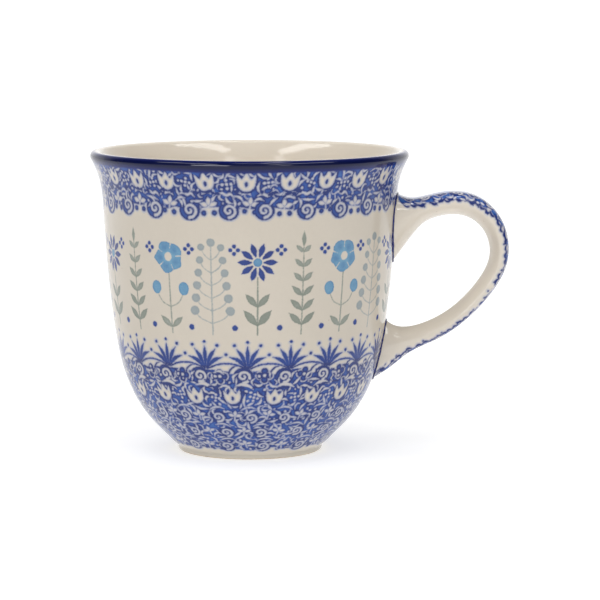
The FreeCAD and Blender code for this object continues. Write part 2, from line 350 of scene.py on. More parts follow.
def twist(g, p, rng, size=1.0, tone=0.9, ground=False):
    """A cobalt quatrefoil, with a cream edge where it stands on a ground."""
    k = size
    for grow in ((0.34,) if ground else ()) + (0.0,):
        for a in (0, 90, 180, 270):
            c, s = math.cos(math.radians(a)), math.sin(math.radians(a))
            shape = blob(1.15 * k * c, 1.15 * k * s, 0.92 * k + grow)
            if grow:
                cut(g, "cobalt", p, shape)
            else:
                put(g, "cobalt", p, shape, tone, 0.05)
    cut(g, "cobalt", p, blob(0, 0, 0.42 * k))


def bud(g, p, rng, size=1.0):
    """A plain symmetrical tulip reserved in the ground: three points over a rounded cup."""
    k = size
    ring = [(-2.3, 2.2), (-1.15, 0.9), (0.0, 2.7), (1.15, 0.9), (2.3, 2.2), (2.2, -0.8), (0.9, -2.2), (-0.9, -2.2), (-2.2, -0.8)]
    put(g, "cobalt", p, patch([(x * 1.28 * k, y * 1.24 * k) for x, y in ring], 3), 0.90, 0.04)
    cut(g, "cobalt", p, patch([(x * k, y * k) for x, y in ring], 3))
    put(g, "cobalt", p, blob(0, -0.5 * k, 0.42 * k, 0.70 * k), 0.8)


def small_bud(g, p, rng, size=1.0):
    """Four cream dots round a fifth."""
    k = size
    for x, y in ((0, 0), (1.25, 0), (-1.25, 0), (0, 1.25), (0, -1.25)):
        cut(g, "cobalt", p, blob(x * k, y * k, 0.46 * k))


def sliver(g, p, L=1.6, w=0.32, bend=0.25):
    """A cream leaf sliver reserved in the ground."""
    cut(g, "cobalt", p, brush([(-L / 2, 0, 0.05), (0, bend, w), (L / 2, 0, 0.05)]))


def hatch(g, p, rng, n=4, span=2.4, tone=1.0):
    """A few short dark nicks of the brush."""
    for i in range(n):
        a = rng.uniform(-70, 70)
        x = rng.uniform(-span / 2, span / 2)
        y = rng.uniform(-0.9, 0.9)
        c, s = math.cos(math.radians(a)), math.sin(math.radians(a))
        L = rng.uniform(0.5, 1.1)
        put(g, "cobalt", p, brush([(x - L * c, y - L * s, 0.12), (x, y, 0.24), (x + L * c, y + L * s, 0.1)]),
            tone)


def leaf_pair(g, layer, p, y, L, w, ang, tone):
    """Two pointed leaves, one on each side of a stem."""
    a = math.radians(ang)
    for side in (-1, 1):
        put(g, layer, p, brush([(0, y, 0.12), (side * 0.5 * L * math.cos(a), y + 0.5 * L * math.sin(a), w),
                                (side * L * math.cos(a), y + L * math.sin(a), 0.06)]), tone, 0.18)


def off(p, x, y):
    """The place at x, y mm from p."""
    return (p[0] + p[3] * x / 42.5, p[1] + p[3] * y, p[2], p[3], p[4])


def daisy(g, p, rng, tone=0.95):
    """Ten pointed petals round an eye, on a straight stem with leaves."""
    put(g, "leaf", p, brush([(0, -12.5, 0.22), (0, -4, 0.24), (0, 3, 0.18)]), 0.62)
    leaf_pair(g, "leaf", p, -10.0, 5.6, 1.05, 48, 0.6)
    leaf_pair(g, "leaf", p, -5.0, 4.8, 0.90, 48, 0.6)
    for i in range(10):
        a = 2 * PI * i / 10
        c, s = math.cos(a), math.sin(a)
        put(g, "cobalt", p, brush([(1.7 * c, 7 + 1.7 * s, 0.25), (3.5 * c, 7 + 3.5 * s, 0.78), (5.1 * c, 7 + 5.1 * s, 0.12)]), tone)
    put(g, "sky", p, blob(0, 7, 1.15), 0.85, 0.2)


def leaf_sprig(g, p, rng, tone=0.6):
    """A straight stem with even pairs of leaves."""
    put(g, "leaf", p, brush([(0, -12.5, 0.2), (0, 0, 0.2), (0, 12, 0.14)]), tone)
    for i in range(6):
        leaf_pair(g, "leaf", p, -10.0 + 3.9 * i, 5.0 - 0.45 * i, 0.88 - 0.05 * i, 42, tone * (1.0 - 0.05 * i))
    put(g, "leaf", p, brush([(0, 11.0, 0.1), (0, 13.0, 0.6), (0, 15.2, 0.05)]), tone)


def blue_bloom(g, p, rng):
    """One sky-blue bloom over two buds, all on one upright stem."""
    put(g, "leaf", p, brush([(0, -12.5, 0.22), (0, -3, 0.22), (0, 4, 0.18)]), 0.5)
    leaf_pair(g, "leaf", p, -11.0, 4.6, 0.85, 40, 0.5)
    for side in (-1, 1):
        put(g, "leaf", p, brush([(0, -5.5, 0.16), (side * 2.6, -4.2, 0.17), (side * 4.2, -1.6, 0.14)]), 0.5)
        put(g, "sky", p, blob(side * 4.3, -0.4, 1.5, 1.8), 0.8, 0.22)
    mallow(g, off(p, 0, 8), rng, 4.5, 1.2, 5, 0.8, 1.0)


def berry_stem(g, p, rng, tone=0.62):
    """Round grey-blue berries on even side stalks."""
    put(g, "mist", p, brush([(0, -12.5, 0.18), (0, 0, 0.18), (0, 11, 0.14)]), tone)
    for i in range(6):
        y, x = -9.5 + 3.4 * i, 4.9 - 0.45 * i
        for side in (-1, 1):
            put(g, "mist", p, brush([(0, y, 0.13), (side * 0.6 * x, y + 1.2, 0.13), (side * x, y + 3.0, 0.12)]), tone)
            put(g, "mist", p, blob(side * x, y + 3.4, 1.25 - 0.06 * i), tone, 0.2)
    put(g, "mist", p, blob(0, 12.2, 1.1), tone, 0.2)


def tuft(g, p, rng, tone=0.93):
    """An even fan of five blades with a dot over each, joined to the next fan by a low arc."""
    for a in (34, 62, 90, 118, 146):
        c, s = math.cos(math.radians(a)), math.sin(math.radians(a))
        L = 5.6 + 1.2 * s
        put(g, "cobalt", p, brush([(0.4 * c, -1.4, 0.26), (0.5 * L * c, 0.5 * L * s - 0.7, 0.62), (L * c, L * s - 1.4, 0.10)]), tone)
        put(g, "cobalt", p, blob((L + 1.3) * c, (L + 1.3) * s - 1.4, 0.50), tone)
    put(g, "cobalt", p, brush([(0.6, -1.5, 0.28), (3.4, -0.3, 0.28), (6.4, 0.1, 0.28), (9.4, -0.3, 0.28), (12.2, -1.5, 0.28)]), tone)


def petal_edge(x, y, cx, cy):
    return 0.8 + 0.2 * np.clip(np.hypot(x - cx, y - cy) / 3.0, 0, 1)


def mallow(g, p, rng, r=3.9, hole=1.2, petals=5, tone=0.8, squash=0.86):
    """An open five-lobed bloom with a cream eye, in wet sky blue."""
    off = rng.uniform(0, 2 * PI)
    pts = []
    for i in range(petals * 4):
        a = off + 2 * PI * i / (petals * 4)
        wave = 0.5 + 0.5 * math.cos(petals * (a - off))
        rr = r * (0.85 + 0.15 * wave + rng.uniform(-0.06, 0.06))
        pts.append((rr * math.cos(a), squash * rr * math.sin(a)))
    put(g, "sky", p, patch(pts, 3), tone, 0.22, lambda x, y: petal_edge(x, y, 0, 0))
    cut(g, "sky", p, blob(rng.uniform(-0.15, 0.15), rng.uniform(-0.15, 0.15), hole, hole * 0.92, off))
    for i in range(petals):
        a = off + 2 * PI * (i + 0.5) / petals
        c, s = math.cos(a), squash * math.sin(a)
        cut(g, "sky", p, brush([(r * 0.50 * c, r * 0.50 * s, 0.06), (r * 0.82 * c, r * 0.82 * s, 0.13),
                                (r * 1.05 * c, r * 1.05 * s, 0.16)]))
        b = off + 2 * PI * i / petals
        tint(g, "sky", p, blob(r * 0.6 * math.cos(b), squash * r * 0.6 * math.sin(b), r * 0.22), tone * 1.2, 0.7)


def meadow(g, rng):
    """A regular frieze: four plain motifs in turn, five times round, with dots between them."""
    cells = 20
    step = 360.0 / cells
    for i in range(cells):
        th = 4.0 + step * i
        (daisy, leaf_sprig, blue_bloom, berry_stem)[i % 4](g, at(th, 58.2, 0.0, 1.1), rng)
        d = at(th + step / 2, 69.5)
        for x, y in ((1.1, 0), (-1.1, 0), (0, 1.1), (0, -1.1)):
            put(g, "cobalt", d, blob(x, y, 0.62), 0.9)
        put(g, "cobalt", at(th + step / 2, 46.5), blob(0, 0, 0.85), 0.9)


def at_value(g, th, v):
    """The grid cell of a place."""
    n = len(g.th) - 1
    j = int(round((th - g.th[0]) / (g.th[-1] - g.th[0]) * n)) % n
    i = int(np.clip(np.searchsorted(g.v, v), 0, len(g.v) - 1))
    return i, j


def lace(g, rng, s0, s1, tries, least=0.72, keep=0.36):
    """Fills what is left of the ground with small cream cuts, so that it reads as stamped foliage.
    Deep ground gets a cut, shallow ground is left as an outline."""
    for _ in range(tries):
        th, v = rng.uniform(g.th[0], g.th[-1]), rng.uniform(s0, s1)
        a, k, pick, turn = rng.uniform(0, PI), rng.uniform(0.8, 1.25), rng.random(), rng.uniform(-0.4, 0.4)
        i, j = at_value(g, th, v)
        d = float(g.d["cobalt"][i, j])
        if d > -least:
            continue
        p = (th, v, a, 1.0, False)
        room = min(-d, 1.5)
        w = min(0.40, room - keep)
        L = room * 1.5 * k
        if pick < 0.62:
            cut(g, "cobalt", p, brush([(-L, -turn, 0.06), (0, turn, w), (L, -turn, 0.06)]))
        elif pick < 0.85:
            cut(g, "cobalt", p, blob(0, 0, w * 1.2, w * 0.9))
        else:
            cut(g, "cobalt", p, brush([(-L, 0, 0.08), (-0.2 * L, 0.35 * L, w * 0.8), (0.5 * L, 0.1 * L, w * 0.8),
                                       (0.6 * L, -0.5 * L, 0.08)]))


def outline(g, s0, s1, amount=0.26):
    """Ink gathers along the edge of every stamped shape."""
    i0, i1 = int(np.searchsorted(g.v, s0)), int(np.searchsorted(g.v, s1))
    d, t = g.d["cobalt"][i0:i1], g.t["cobalt"][i0:i1]
    k = np.clip((0.62 + d) / 0.34, 0, 1)
    g.t["cobalt"][i0:i1] = np.where(d < 0.3, t + amount * k, t)


def rim_border(g, rng):
    """Reserved buds on a blue ground over a fringe of curls and fleurons."""
    n = 24
    top, low = 92.7, 81.6
    m = 24
    mstep = 360.0 / m
    for i in range(72):
        th = 360.0 * i / 72
        dv = rng.uniform(-0.7, 0.9)
        put(g, "cobalt", at(th, 0), patch([(-2.9, low + dv), (-1.2, low + 0.9 + dv), (1.2, low + 0.2 + dv),
                                           (2.9, low + dv), (2.9, top + 1.5), (-2.9, top + 1.5)], smooth=False),
            rng.uniform(0.66, 0.80))
    for i in range(300):
        p = at(rng.uniform(0, 360), rng.uniform(low, top), rng.uniform(0, 180))
        tint(g, "cobalt", p, blob(0, 0, rng.uniform(0.6, 1.6), rng.uniform(0.4, 0.9)), rng.uniform(0.46, 0.92), 0.6)
    step = 360.0 / n
    # the fringe first, so that the petals above can be laid over it
    for i in range(m):
        th = -7.6 + mstep * i + rng.uniform(-1.0, 1.0)
        k = rng.uniform(0.95, 1.05)
        figure(g, at(th + mstep * 0.5 + rng.uniform(-0.6, 0.6), 82.2 + rng.uniform(-0.4, 0.4), rng.uniform(-8, 8), k), rng, 1.14, 0.80)
        curl(g, at(th, 81.2 + rng.uniform(-0.3, 0.3), rng.uniform(-10, 10), k), rng, 1.06, 0.82, True, 1.18, 120)
    for i in range(m):
        th = -7.6 + mstep * i
        p = at(th - 0.3, 85.2 + rng.uniform(-0.2, 0.2), rng.uniform(-10, 10))
        cut(g, "cobalt", p, brush([(-2.6, -0.1, 0.12), (-1.2, 0.75, 0.36), (0.2, 0.35, 0.40), (1.3, 0.9, 0.36), (2.5, 0.0, 0.12)]))
        p = at(th + mstep * 0.5, 86.3 + rng.uniform(-0.3, 0.3), rng.uniform(-10, 10))
        cut(g, "cobalt", p, patch([(-1.5, -0.8), (-1.1, 0.3), (-0.2, 1.3), (0.8, 0.3), (1.4, -0.8), (0.1, -0.3)]))
    for i in range(n):
        th = step * i + rng.uniform(-0.9, 0.9)
        bud(g, at(th, 89.6 + rng.uniform(-0.3, 0.3), rng.uniform(-8, 8), rng.uniform(0.95, 1.05)), rng, 1.13)
        small_bud(g, at(th + step * 0.53, 89.1 + rng.uniform(-0.4, 0.4), rng.uniform(-20, 20), rng.uniform(0.92, 1.06)), rng, 0.98)
    lace(g, rng, low - 0.6, top - 0.2, 5200, 0.66, 0.44)
    for i in range(n):
        th = step * i
        for q in range(4):
            p = at(th + rng.uniform(0, step), 86.2 + rng.uniform(-0.6, 0.6), rng.uniform(-30, 30))
            put(g, "cobalt", p, blob(0, 0, rng.uniform(0.6, 1.2), rng.uniform(0.4, 0.65)), 0.98)
    outline(g, 76, 94)


def lower_border(g, rng):
    """Tufts over rows of curls and fleurons that close up towards the foot, round one row of buds."""
    foot = 3.3
    rows = 26
    for i in range(64):
        th = 360.0 * i / 64
        for v0, v1 in ((foot, 7.0), (6.6, 14.0), (13.5, 22.0), (21.5, 33.5)):
            half = 2 * PI * float(np.interp(v1, PROFILE_S, PROFILE_R)) / 64 * 0.62
            top = v1 + (rng.uniform(-1.2, 0.5) if v1 > 30 else 0.6)
            bot = v0 + (rng.uniform(-0.7, 0.7) if v0 < 4 else -0.4)
            cy = (top + bot) / 2
            put(g, "cobalt", at(th, cy), patch([(-half, bot - cy), (half, bot - cy), (half, top - cy), (-half, top - cy)],
                                               smooth=False), rng.uniform(0.60, 0.72))
    for i in range(520):
        p = at(rng.uniform(0, 360), rng.uniform(foot, 30.6), rng.uniform(0, 180))
        tint(g, "cobalt", p, blob(0, 0, rng.uniform(0.6, 1.8), rng.uniform(0.4, 0.9)), rng.uniform(0.48, 0.94), 0.7)
    # tufts first: the curls stand in front of them
    m = 20
    mstep = 360.0 / m
    for i in range(m):
        tuft(g, at(mstep * i, 35.6), rng)
    # curls and fleurons under the tufts
    n = 20
    step = 360.0 / n
    for i in range(n):
        th = -2.4 + step * i + rng.uniform(-1.0, 1.0)
        kk = rng.uniform(0.95, 1.06)
        twist(g, at(th + step * 0.5, 31.9 + rng.uniform(-0.3, 0.3), rng.uniform(-10, 10), kk), rng, 1.12, 0.86, True)
        curl(g, at(th, 31.7 + rng.uniform(-0.25, 0.25), rng.uniform(-14, 14), kk), rng, 0.98, 0.88, True, 1.05, 0)
        p = at(th, 31.7, rng.uniform(-8, 8))
        put(g, "cobalt", p, brush([(-4.6, 0.2, 0.22), (-3.9, 1.9, 0.28), (-2.7, 3.0, 0.24), (-1.5, 3.3, 0.10)]), 0.86)
        put(g, "cobalt", p, brush([(3.0, 1.4, 0.24), (4.1, 1.0, 0.34), (4.5, -0.2, 0.30)]), 0.86)
        for q in range(2):
            p = at(th + step * (0.25 + 0.5 * q), 29.6 + rng.uniform(-0.3, 0.3), rng.uniform(-20, 20))
            put(g, "cobalt", p, brush([(-1.6, 0.9, 0.25), (0, 0.1, 0.45), (1.6, 0.9, 0.25)]), 0.85)
    for i in range(n):
        # cream petals that hang between them
        th = -2.4 + step * i
        p = at(th + step * 0.04, 28.4, rng.uniform(-10, 10))
        cut(g, "cobalt", p, brush([(-2.6, -0.1, 0.12), (-0.6, 0.8, 0.5), (1.4, 0.5, 0.45), (2.8, -0.4, 0.12)]))
    for v, cnt, k, off in ((17.7, 21, 0.98, 1.2), (11.4, 18, 0.96, -12.3), (4.7, 14, 1.0, 10.2)):
        st = 360.0 / cnt
        for i in range(cnt):
            th = off + st * i + rng.uniform(-1.1, 1.1)
            kk = k * rng.uniform(0.95, 1.05)
            figure(g, at(th + st * 0.5, v + 0.6 + rng.uniform(-0.4, 0.4), rng.uniform(-16, 16), kk), rng, 0.96, 0.84)
            curl(g, at(th, v + rng.uniform(-0.35, 0.35), rng.uniform(-26, 10), kk), rng, 0.95, 0.88, True, 1.3, 110 if v > 6 else 0)
            p = at(th + rng.uniform(-0.08, 0.08) * st, v + 3.35 * k, rng.uniform(-10, 10))
            cut(g, "cobalt", p, brush([(-2.3, -0.3, 0.1), (-0.8, 0.4, 0.32), (0.9, 0.4, 0.32), (2.3, -0.4, 0.1)]))
    for i in range(n):
        th = -6.3 + step * i + rng.uniform(-0.8, 0.8)
        bud(g, at(th, 24.9 + rng.uniform(-0.3, 0.3), rng.uniform(-8, 8), rng.uniform(0.96, 1.06)), rng, 1.0)
        small_bud(g, at(th + step * 0.54, 24.7 + rng.uniform(-0.4, 0.4), rng.uniform(-20, 20), rng.uniform(0.9, 1.05)), rng, 0.9)
        for x in (-3.4, 1.0):
            x += rng.uniform(-1.2, 1.2)
            put(g, "cobalt", at(th + step * 0.5, 28.2 + rng.uniform(-0.5, 0.5)),
                brush([(x - 1.6, rng.uniform(-0.4, 0.4), 0.2), (x, 0.2, 0.42), (x + 2.0, rng.uniform(-0.4, 0.4), 0.2)]), 0.98)
    lace(g, rng, 2.2, 33.2, 15000, 0.62, 0.42)
    for i in range(110):
        p = at(rng.uniform(0, 360), rng.uniform(foot + 0.5, 28.0), rng.uniform(0, 180))
        tint(g, "cobalt", p, blob(0, 0, rng.uniform(0.8, 1.5), rng.uniform(0.5, 0.8)), 1.0, 0.4)
    outline(g, 0, 35.0)


def spine_band(g, rng, want, half_b):
    """The handle's band: stamps pressed along the spine, ragged where they run over the edges."""
    total = float(want[-1])
    end = total - 4.5

    def wrap(s):
        # the stamp is pressed further round the side on the top of the arm
        return float(np.interp(s, (0, 8, 28, 40, 55, total), (0.0, 0.6, 0.8, -0.1, -0.4, -0.1)))

    s = 3.0
    while s < end:
        b = float(np.interp(s, want, half_b)) + wrap(s) - 0.6
        put(g, "cobalt", (0.0, s, rng.uniform(-0.1, 0.1), 1.0, False),
            patch([(-b + rng.uniform(-0.6, 0.5), -1.2), (b + rng.uniform(-0.5, 0.6), -1.2),
                   (b + rng.uniform(-0.5, 0.6), 1.2), (-b + rng.uniform(-0.6, 0.5), 1.2)], smooth=False),
            rng.uniform(0.42, 0.62))
        s += 2.0
    s = 5.0
    n = 0
    while s < end:
        b = float(np.interp(s, want, half_b))
        for x in (-0.55 * b, 0.55 * b):
            p = (x, s + rng.uniform(-0.3, 0.3), rng.uniform(-0.5, 0.5) + (1.57 if x > 0 else -1.57), 0.9, False)
            if n % 2 == 0:
                curl(g, p, rng, 0.95, 0.92, True)
            else:
                twist(g, p, rng, 0.95, 0.86, True)
            n += 1
        n += 1
        s += 5.2
    lace(g, rng, 2.0, end, 620, 0.85, 0.5)
    for side in (-1, 1):
        s = 2.5
        while s < end:
            b = float(np.interp(s, want, half_b)) + wrap(s)
            x = side * (b - 0.1 + rng.uniform(-0.3, 0.3))
            step = rng.uniform(1.5, 2.6)
            if rng.random() < 0.86:
                put(g, "cobalt", (x, s, 0.0, 1.0, False),
                    brush([(-side * 0.5, -1.3, 0.22), (side * rng.uniform(0.0, 0.5), 0.0, rng.uniform(0.36, 0.56)),
                           (-side * 0.4, 1.3, 0.22)]), rng.uniform(0.78, 0.96))
            if rng.random() < 0.35:
                put(g, "cobalt", (x + side * 0.6, s + 0.6, 0.0, 1.0, False), blob(0, 0, 0.3, 0.36), 0.8)
            s += step
    # loose curls that the sponge left on the side of the arm
    s = 9.0
    while s < 46:
        b = float(np.interp(s, want, half_b)) + wrap(s)
        for side in (-1, 1):
            if rng.random() < 0.75:
                p = (side * (b - 0.6), s + rng.uniform(-0.8, 0.8), rng.uniform(-0.5, 0.5) + side * 1.57, 0.8, side < 0)
                put(g, "cobalt", p, brush([(-2.3, 0.7, 0.2), (-1.0, -0.3, 0.50), (0.7, -0.3, 0.60), (1.7, 0.5, 0.42), (1.2, 1.3, 0.24)]), 0.88)
                cut(g, "cobalt", p, brush([(-1.9, 1.3, 0.12), (-0.5, 0.55, 0.42), (0.5, 0.75, 0.36), (0.7, 1.5, 0.2)]))
        s += rng.uniform(3.4, 4.8)
    # bare places along the edge
    s = 4.0
    while s < end:
        b = float(np.interp(s, want, half_b)) + wrap(s)
        for side in (-1, 1):
            if rng.random() < 0.5:
                cut(g, "cobalt", (side * (b - rng.uniform(0.2, 1.3)), s + rng.uniform(-0.8, 0.8), rng.uniform(-0.8, 0.8), 1.0, False),
                    blob(0, 0, rng.uniform(0.25, 0.5), rng.uniform(0.5, 1.2)))
        s += rng.uniform(1.6, 2.8)
    outline(g, 0, total)


# ---------------------------------------------------------------------------------------
# Meshes
# ---------------------------------------------------------------------------------------

def make_mesh(name, co, faces, normals=None):
    """A smooth mesh from mm points and an (n, 4) face array; a triangle repeats its last corner."""
    me = bpy.data.meshes.new(name)
    faces = np.asarray(faces, np.int32)
    tri = faces[:, 3] == faces[:, 2]
    size = np.where(tri, 3, 4)
    mask = np.ones(faces.shape, bool)
    mask[tri, 3] = False
    loops = faces[mask]
    me.vertices.add(len(co))
    me.vertices.foreach_set("co", (np.asarray(co, np.float32) * MM).ravel())
    me.loops.add(len(loops))
    me.loops.foreach_set("vertex_index", loops)
    me.polygons.add(len(faces))
    me.polygons.foreach_set("loop_start", np.concatenate([[0], np.cumsum(size)[:-1]]).astype(np.int32))
    me.update(calc_edges=True)
    me.validate()
    me.shade_smooth()
    if normals is not None:
        me.normals_split_custom_set_from_vertices(np.asarray(normals, np.float32).tolist())
    ob = bpy.data.objects.new(name, me)
    bpy.context.scene.collection.objects.link(ob)
    return ob


def point_data(ob, name, values):
    at_ = ob.data.attributes.new(name, "FLOAT", "POINT")
    at_.data.foreach_set("value", np.ascontiguousarray(values, np.float32).ravel())


def turned(name, path, cols, closed_start=False, closed_end=False):
    """Turns an (r, z) path about Z. Columns run from -180 degrees, with 0 facing -Y."""
    path = np.asarray(path, float)
    t = np.gradient(path, axis=0)
    t /= np.linalg.norm(t, axis=1)[:, None]
    th = -math.pi + 2 * math.pi * np.arange(cols) / cols
    sn, cs = np.sin(th), np.cos(th)
    rows = path[(1 if closed_start else 0):(-1 if closed_end else None)]
    tt = t[(1 if closed_start else 0):(-1 if closed_end else None)]
    R = rows[:, 0][:, None]
    co = np.stack([R * sn, -R * cs, np.broadcast_to(rows[:, 1][:, None], (len(rows), cols))], -1)
    nr, nz = tt[:, 1][:, None], -tt[:, 0][:, None]
    no = np.stack([nr * sn, -nr * cs, np.broadcast_to(nz, (len(rows), cols))], -1)
    co, no = co.reshape(-1, 3), no.reshape(-1, 3)
    i = np.arange(len(rows) - 1)[:, None] * cols
    j = np.arange(cols)[None, :]
    k = (j + 1) % cols
    quads = np.stack([i + j, i + k, i + cols + k, i + cols + j], -1).reshape(-1, 4)
    if closed_start:
        c = len(co)
        co = np.vstack([co, [[0, 0, path[0][1]]]])
        no = np.vstack([no, [[0, 0, -1.0 if t[0][0] > 0 else 1.0]]])
        quads = np.vstack([quads, np.stack([np.full(cols, c), k[0], j[0], j[0]], -1)])
    if closed_end:
        c = len(co)
        base = (len(rows) - 1) * cols
        co = np.vstack([co, [[0, 0, path[-1][1]]]])
        no = np.vstack([no, [[0, 0, 1.0]]])
        quads = np.vstack([quads, np.stack([base + j[0], base + k[0], np.full(cols, c), np.full(cols, c)], -1)])
    return make_mesh(name, co, quads, no)


COLS = 1152
BREAKS = [0.5, s_of_z(20.0), s_of_z(38.0), s_of_z(55.5), s_of_z(73.2), S_CREST]
ROWS = (86, 84, 80, 80, 84)
NAMES = ("lower_border_foot", "lower_border_upper", "flower_frieze_lower", "flower_frieze_upper", "rim_border")
s_rows = [np.linspace(a, b, n + 1) for a, b, n in zip(BREAKS[:-1], BREAKS[1:], ROWS)]
s_all = np.concatenate([s_rows[0]] + [q[1:] for q in s_rows[1:]])
th_all = np.linspace(-math.pi, math.pi, COLS + 1)

glaze = Glaze(th_all, s_all, np.interp(s_all, S, shell[:, 0]), 2 * math.pi)
meadow(glaze, random.Random(100))
rim_border(glaze, random.Random(21))
lower_border(glaze, random.Random(31))
glaze.close()

wave = random.Random(5)
terms = [(k, wave.uniform(0, 2 * math.pi), wave.uniform(0.5, 1.0) / k ** 0.6) for k in (1, 2, 3, 5, 7, 11, 17, 26)]


def wavy(th, size):
    return size * sum(a * np.sin(k * th + p) for k, p, a in terms) / 2.2


S_NAVY = s_of_z(87.65)
S_INSIDE = S_CREST - 0.35


def navy_at(th, s):
    """Distance to the painted rim: a wavy lower edge outside and a thin one just over the crest."""
    return np.maximum(S_NAVY + wavy(th, 0.34) - s, s - S_INSIDE - wavy(th * 1.0 + 2.0, 0.22))


skins = []
row0 = 0
for name, s_part in zip(NAMES, s_rows):
    path = np.stack([np.interp(s_part, S, shell[:, 0]), np.interp(s_part, S, shell[:, 1])], 1)
    ob = turned(name, path, COLS)
    sl = slice(row0, row0 + len(s_part))
    for lay in LAYERS:
        if name.startswith(("rim", "lower")) and lay != "cobalt":
            if not (name == "lower_border_upper" and lay in ("leaf", "sky", "mist")):
                continue
        point_data(ob, lay + "_d", np.minimum(glaze.d[lay][sl, :-1], 2.0))
        point_data(ob, lay + "_t", glaze.t[lay][sl, :-1])
    if name == "rim_border":
        point_data(ob, "navy_d", np.minimum(navy_at(th_all[None, :-1], s_part[:, None]), 2.0))
    skins.append(ob)
    row0 += len(s_part) - 1

# inside of the cup, from the lip's crest to the middle of the floor
s_in = np.concatenate([np.linspace(S_CREST, S_CREST + 6.0, 31)[:-1],
                       np.linspace(S_CREST + 6.0, S_END, 150)])
path = np.stack([np.interp(s_in, S, shell[:, 0]), np.interp(s_in, S, shell[:, 1])], 1)
path[-1] = (0.0, 6.6)
inside = turned("cup_inside", path, 576, closed_end=True)
th_in = (-math.pi + 2 * math.pi * np.arange(576) / 576)[None, :]
nav = np.minimum(navy_at(th_in, s_in[:-1][:, None]), 2.0)
point_data(inside, "navy_d", np.concatenate([nav.ravel(), [2.0]]))

# foot: the recess, the bare standing ring and the short upright side
def arc(cx, cz, r, a0, a1, n):
    a = np.radians(np.linspace(a0, a1, n))
    return [(cx + r * math.cos(q), cz + r * math.sin(q)) for q in a]


foot_path = ([(0.0, 2.0)] + [(x, 2.0) for x in np.linspace(1.0, 15.2, 24)]
             + arc(15.4, 1.2, 0.8, 90, 30, 6)
             + [(17.05, 0.72)]
             + arc(17.95, 0.5, 0.5, 205, 270, 6)
             + [(x, 0.0) for x in np.linspace(18.4, 20.6, 5)]
             + arc(20.85, 1.0, 1.0, 270, 360, 10)
             + [(21.85, 1.3)])
tail = [(float(np.interp(q, S, shell[:, 0])), float(np.interp(q, S, shell[:, 1])))
        for q in np.linspace(0.0, BREAKS[0], 4)]
foot_line = np.array(foot_path + tail)
foot = turned("foot_ring", foot_line, 576, closed_start=True)
# bare clay where the cup stands: between the recess's mouth and just up the side
fs = along(foot_line)
fr, fz = foot_line[1:, 0][:, None], foot_line[1:, 1][:, None]
th_f = (-math.pi + 2 * math.pi * np.arange(576) / 576)[None, :]
up = np.maximum(fz - 0.42 - wavy(th_f, 0.10), 17.3 + wavy(th_f + 1.0, 0.2) - fr)
point_data(foot, "bare_d", np.concatenate([np.clip(up, -2, 2).ravel(), [2.0]]))

# ---------------------------------------------------------------------------------------
# Handle: a ribbon with a rounded section that follows the CAD's stations
# ---------------------------------------------------------------------------------------
EAR = ((42.0, 67.0, -4, 12.2, 9.2), (44.32, 69.0, 4, 9.4, 8.9), (46.84, 70.95, 14, 6.75, 8.3),
       (50.29, 72.45, 23, 4.4, 7.6), (55.41, 74.05, 18, 3.5, 7.1), (61.24, 74.97, 0, 3.5, 6.8),
       (67.53, 73.75, -27, 3.5, 6.7), (72.62, 69.5, -53, 3.25, 6.6), (75.2, 63.31, -80, 2.94, 6.4),
       (74.92, 56.94, -104, 2.78, 6.2), (72.03, 51.02, -121, 2.72, 6.0), (67.17, 45.03, -134, 2.7, 5.8),
       (61.44, 39.96, -144, 2.8, 5.6), (55.27, 36.31, -153, 3.03, 5.4), (49.94, 34.26, -159, 3.4, 5.2),
       (45.47, 32.92, -166, 4.75, 5.1), (41.57, 31.9, -178, 7.4, 5.1), (36.81, 31.2, -192, 11.2, 5.2))


def natural(t, y, q):
    """Natural cubic spline through (t, y), at q."""
    t, y = np.asarray(t, float), np.asarray(y, float)
    n = len(t)
    h = np.diff(t)
    A = np.zeros((n, n))
    b = np.zeros((n,) + y.shape[1:])
    A[0, 0] = A[-1, -1] = 1
    for i in range(1, n - 1):
        A[i, i - 1], A[i, i], A[i, i + 1] = h[i - 1], 2 * (h[i - 1] + h[i]), h[i]
        b[i] = 6 * ((y[i + 1] - y[i]) / h[i] - (y[i] - y[i - 1]) / h[i - 1])
    m = np.linalg.solve(A, b)
    i = np.clip(np.searchsorted(t, q) - 1, 0, n - 2)
    a, c = (t[i + 1] - q)[:, None], (q - t[i])[:, None]
    hh = h[i][:, None]
    return (m[i] * a ** 3 + m[i + 1] * c ** 3) / (6 * hh) + (y[i] / hh - m[i] * hh / 6) * a + (
        y[i + 1] / hh - m[i + 1] * hh / 6) * c


ear = np.array(EAR, float)
ear_t = along(ear[:, :2])
fine_t = np.linspace(0, ear_t[-1], 620)
st = natural(ear_t, ear, fine_t)
RING = 132
ring_a = 2 * math.pi * np.arange(RING) / RING



def ring_at(a, b):
    """Section points (u outward in mm, w across in mm), evenly spaced, from the middle of the spine."""
    q = np.linspace(0, 2 * math.pi, 1441)
    c, s = np.cos(q), np.sin(q)
    p = np.where(c > 0, 3.1, 1.42)
    shift = 0.02 * a
    u = shift + np.where(c > 0, a - shift, a + shift) * np.sign(c) * np.abs(c) ** (2 / p)
    w = b * np.sign(s) * np.abs(s) ** (2 / p)
    L = along(np.stack([u, w], 1))
    g = np.linspace(0, L[-1], RING + 1)[:-1]
    return np.interp(g, L, u), np.interp(g, L, w), g, L[-1]


hv = np.zeros((len(st), RING, 3))
across = np.zeros((len(st), RING))
for i, (x, z, ang, a, b) in enumerate(st):
    u, w, g, per = ring_at(a, b)
    t = math.radians(ang)
    nx, nz = -math.sin(t), math.cos(t)
    # outward of the loop is the section's normal; the ring starts there and turns towards -Y
    hv[i, :, 0] = x + nx * u
    hv[i, :, 2] = z + nz * u
    hv[i, :, 1] = -w
    across[i] = np.where(g > per / 2, g - per, g)
spine = hv[:, 0, :]
spine_s = along(spine[:, [0, 2]])
